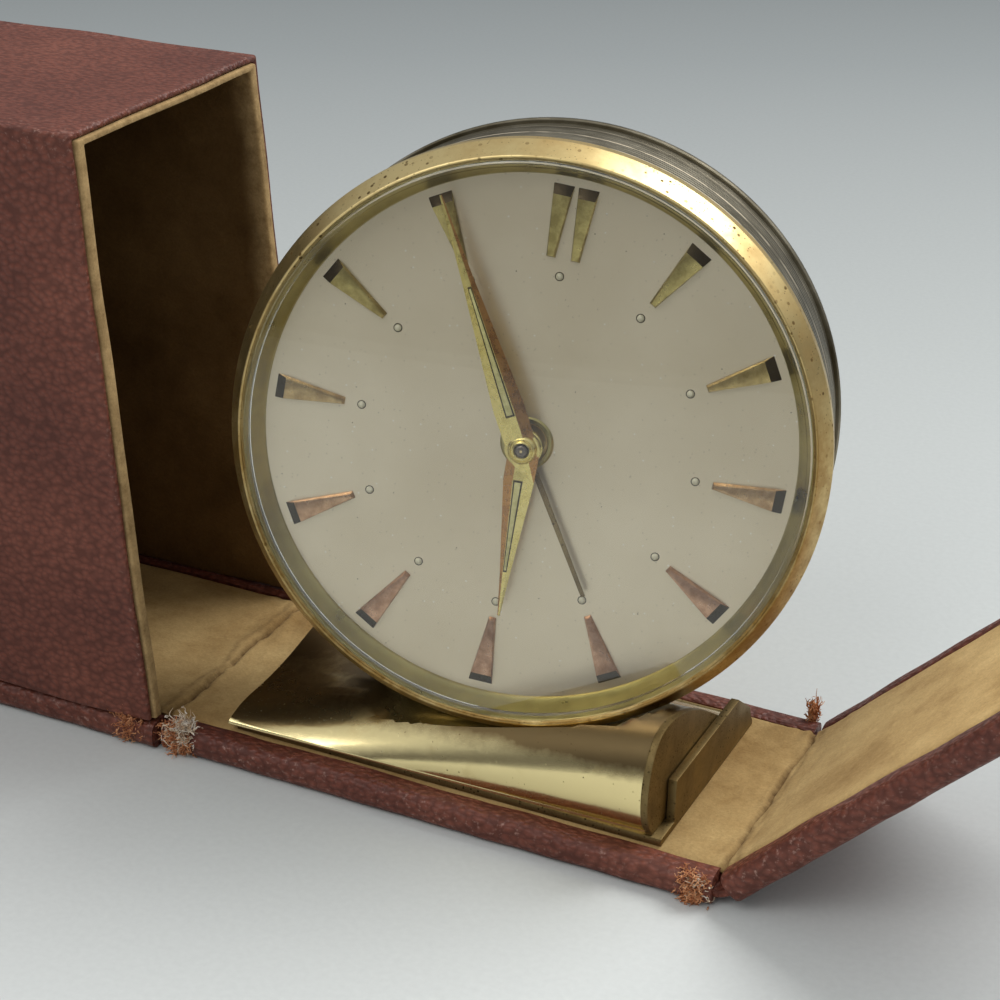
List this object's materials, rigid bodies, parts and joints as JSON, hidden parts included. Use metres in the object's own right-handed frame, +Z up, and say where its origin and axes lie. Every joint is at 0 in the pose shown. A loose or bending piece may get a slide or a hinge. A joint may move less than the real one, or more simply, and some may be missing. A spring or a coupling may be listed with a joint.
{
  "type": "folding travel alarm clock",
  "caption": "Round brass alarm clock with a domed crystal, on a ball joint in a brass saddle, in a fold-open leather travel case with a box cover and a flap.",
  "frame": {"origin": "Middle of the base panel's underside, on the table.", "axes": "+X from the cover to the flap, -Y towards the viewer in front of the case, +Z up."},
  "size_m": [0.1799, 0.0386, 0.0652],
  "materials": {
    "leather": "grained reddish brown leather",
    "lining": "beige velour",
    "saddle_brass": "polished brass",
    "bezel_brass": "polished brass, tarnished",
    "drum_bronze": "dark grooved brass",
    "back_brass": "satin brass",
    "crystal": "clear",
    "silver": "bright",
    "dial_paint": "satin champagne",
    "marker_gold": "bright gold",
    "dot_lume": "luminous paint",
    "steel": "brushed",
    "works_brass": "satin brass"
  },
  "bodies": {
    "base": {"base_panel": "leather", "base_lining": "lining", "crease_ribs": "leather", "tray": "saddle_brass", "tray_rivets": "saddle_brass", "saddle": "saddle_brass", "saddle_end_plate": "saddle_brass", "ball_socket": "saddle_brass"},
    "spine": {"spine_panel": "leather", "spine_lining": "lining"},
    "cover": {"cover_shell": "leather", "cover_lining": "lining", "snap_stud": "saddle_brass"},
    "flap": {"flap_panel": "leather", "flap_lining": "lining", "snap_socket": "saddle_brass"},
    "clock": {"ball_stud": "steel", "stud_nut": "steel", "drum_band": "drum_bronze", "bezel": "bezel_brass", "crystal": "crystal", "inner_ring": "silver", "dial": "dial_paint", "eyelet": "marker_gold", "hour_markers": "marker_gold", "dial_dots": "dot_lume", "front_plate": "works_brass", "back_plate": "works_brass", "pillars": "works_brass", "time_spring": "steel", "alarm_spring": "steel", "hairspring": "steel", "gong_ring": "steel", "back_cover": "back_brass", "back_screws": "steel"},
    "minute_works": {"minute_hand": "marker_gold", "hand_collet": "marker_gold", "cannon_pinion": "works_brass", "centre_wheel": "works_brass", "time_set_knob": "back_brass"},
    "hour_works": {"hour_hand": "marker_gold", "hour_wheel": "works_brass"},
    "alarm_works": {"alarm_hand": "marker_gold", "alarm_wheel": "works_brass"},
    "minute_idler": {"minute_wheel": "works_brass"},
    "alarm_setter": {"alarm_set_knob": "back_brass"},
    "third_arbor": {"third_wheel": "works_brass"},
    "escape_arbor": {"escape_wheel": "works_brass"},
    "pallet": {"pallet_fork": "steel"},
    "balance": {"balance_wheel": "works_brass"},
    "time_barrel": {"time_great_wheel": "works_brass"},
    "alarm_barrel": {"alarm_great_wheel": "works_brass"},
    "alarm_escape": {"alarm_escape_wheel": "works_brass"},
    "hammer_arm": {"hammer": "steel"},
    "time_winder": {"time_key": "back_brass"},
    "time_bow": {"time_key_bow": "back_brass"},
    "alarm_winder": {"alarm_key": "back_brass"},
    "alarm_bow": {"alarm_key_bow": "back_brass"},
    "regulator": {"regulator_lever": "steel"},
    "stop_button": {"alarm_stop_button": "steel"}
  },
  "joints": [
    {"name": "spine_hinge", "type": "hinge", "parent": "base", "child": "spine", "pos_m": [-0.0305, 0, 0.003], "axis": [0, 1, 0], "range_deg": [0, 90]},
    {"name": "cover_fold", "type": "hinge", "parent": "spine", "child": "cover", "pos_m": [-0.097, 0, 0.0024], "axis": [0, 1, 0], "range_deg": [-118, 0]},
    {"name": "flap_hinge", "type": "hinge", "parent": "base", "child": "flap", "pos_m": [0.0305, 0, 0.003], "axis": [0, -1, 0], "range_deg": [-45, 36]},
    {"name": "clock_swivel", "type": "hinge", "parent": "base", "child": "clock", "pos_m": [-0.0008, -0.0012, 0.00523], "axis": [-0.5265, 0.359, 0.7706], "range_deg": [-18.2, 0]},
    {"name": "minute_turn", "type": "hinge", "parent": "clock", "child": "minute_works", "pos_m": [0.00362, -0.00191, 0.03618], "axis": [0.2502, -0.9564, 0.1506], "continuous": true},
    {"name": "hour_turn", "type": "hinge", "parent": "clock", "child": "hour_works", "pos_m": [0.00362, -0.00191, 0.03618], "axis": [0.2502, -0.9564, 0.1506], "continuous": true},
    {"name": "minute_idler_turn", "type": "hinge", "parent": "clock", "child": "minute_idler", "pos_m": [-0.00303, -0.00351, 0.03709], "axis": [0.2502, -0.9564, 0.1506], "continuous": true},
    {"name": "time_barrel_turn", "type": "hinge", "parent": "clock", "child": "time_barrel", "pos_m": [-0.00833, -0.00462, 0.03882], "axis": [0.2502, -0.9564, 0.1506], "continuous": true},
    {"name": "third_turn", "type": "hinge", "parent": "clock", "child": "third_arbor", "pos_m": [0.00494, -0.00263, 0.02942], "axis": [0.2502, -0.9564, 0.1506], "continuous": true},
    {"name": "escape_turn", "type": "hinge", "parent": "clock", "child": "escape_arbor", "pos_m": [0.00078, -0.00415, 0.02667], "axis": [0.2502, -0.9564, 0.1506], "continuous": true},
    {"name": "alarm_turn", "type": "hinge", "parent": "clock", "child": "alarm_works", "pos_m": [0.00362, -0.00191, 0.03618], "axis": [0.2502, -0.9564, 0.1506], "continuous": true},
    {"name": "alarm_set_turn", "type": "hinge", "parent": "clock", "child": "alarm_setter", "pos_m": [0.00468, 0.00014, 0.04745], "axis": [0.2502, -0.9564, 0.1506], "continuous": true},
    {"name": "time_wind", "type": "hinge", "parent": "clock", "child": "time_winder", "pos_m": [-0.00833, -0.00462, 0.03882], "axis": [0.2502, -0.9564, 0.1506], "continuous": true},
    {"name": "time_bow_fold", "type": "hinge", "parent": "time_winder", "child": "time_bow", "pos_m": [-0.01186, 0.00886, 0.03669], "axis": [0.9638, 0.2312, -0.1324], "range_deg": [0, 90]},
    {"name": "alarm_wind", "type": "hinge", "parent": "clock", "child": "alarm_winder", "pos_m": [0.01576, 0.00116, 0.0355], "axis": [0.2502, -0.9564, 0.1506], "continuous": true},
    {"name": "alarm_bow_fold", "type": "hinge", "parent": "alarm_winder", "child": "alarm_bow", "pos_m": [0.01224, 0.01464, 0.03338], "axis": [0.9638, 0.2312, -0.1324], "range_deg": [0, 90]},
    {"name": "alarm_barrel_turn", "type": "hinge", "parent": "clock", "child": "alarm_barrel", "pos_m": [0.01576, 0.00116, 0.0355], "axis": [0.2502, -0.9564, 0.1506], "continuous": true},
    {"name": "alarm_escape_turn", "type": "hinge", "parent": "clock", "child": "alarm_escape", "pos_m": [0.00912, -0.00191, 0.0271], "axis": [0.2502, -0.9564, 0.1506], "continuous": true},
    {"name": "hammer_swing", "type": "hinge", "parent": "clock", "child": "hammer_arm", "pos_m": [0.01115, -0.00206, 0.02274], "axis": [0.2502, -0.9564, 0.1506], "range_deg": [-12, 4]},
    {"name": "pallet_rock", "type": "hinge", "parent": "clock", "child": "pallet", "pos_m": [-0.00291, -0.00542, 0.02477], "axis": [0.2502, -0.9564, 0.1506], "range_deg": [-6, 6]},
    {"name": "balance_swing", "type": "hinge", "parent": "clock", "child": "balance", "pos_m": [0.0011, -0.00517, 0.01966], "axis": [0.2502, -0.9564, 0.1506], "range_deg": [-140, 140]},
    {"name": "regulator_turn", "type": "hinge", "parent": "clock", "child": "regulator", "pos_m": [0.0011, -0.00517, 0.01966], "axis": [0.2502, -0.9564, 0.1506], "range_deg": [-25, 25]},
    {"name": "stop_button_press", "type": "slide", "parent": "clock", "child": "stop_button", "axis": [0.2502, -0.9564, 0.1506], "range_m": [0, 0.0008], "stiffness_N_per_m": 100, "springref_m": -0.0004}
  ],
  "couplings": [
    {"joint": "cover_fold", "follows": "spine_hinge", "ratio": -1.3},
    {"joint": "hour_turn", "follows": "minute_turn", "ratio": 0.083333},
    {"joint": "minute_idler_turn", "follows": "minute_turn", "ratio": -0.33333},
    {"joint": "time_barrel_turn", "follows": "minute_turn", "ratio": -0.20833},
    {"joint": "third_turn", "follows": "minute_turn", "ratio": -5},
    {"joint": "escape_turn", "follows": "minute_turn", "ratio": 22.857},
    {"joint": "alarm_set_turn", "follows": "alarm_turn", "ratio": -3.0769},
    {"joint": "alarm_escape_turn", "follows": "alarm_barrel_turn", "ratio": -6.8571}
  ]
}
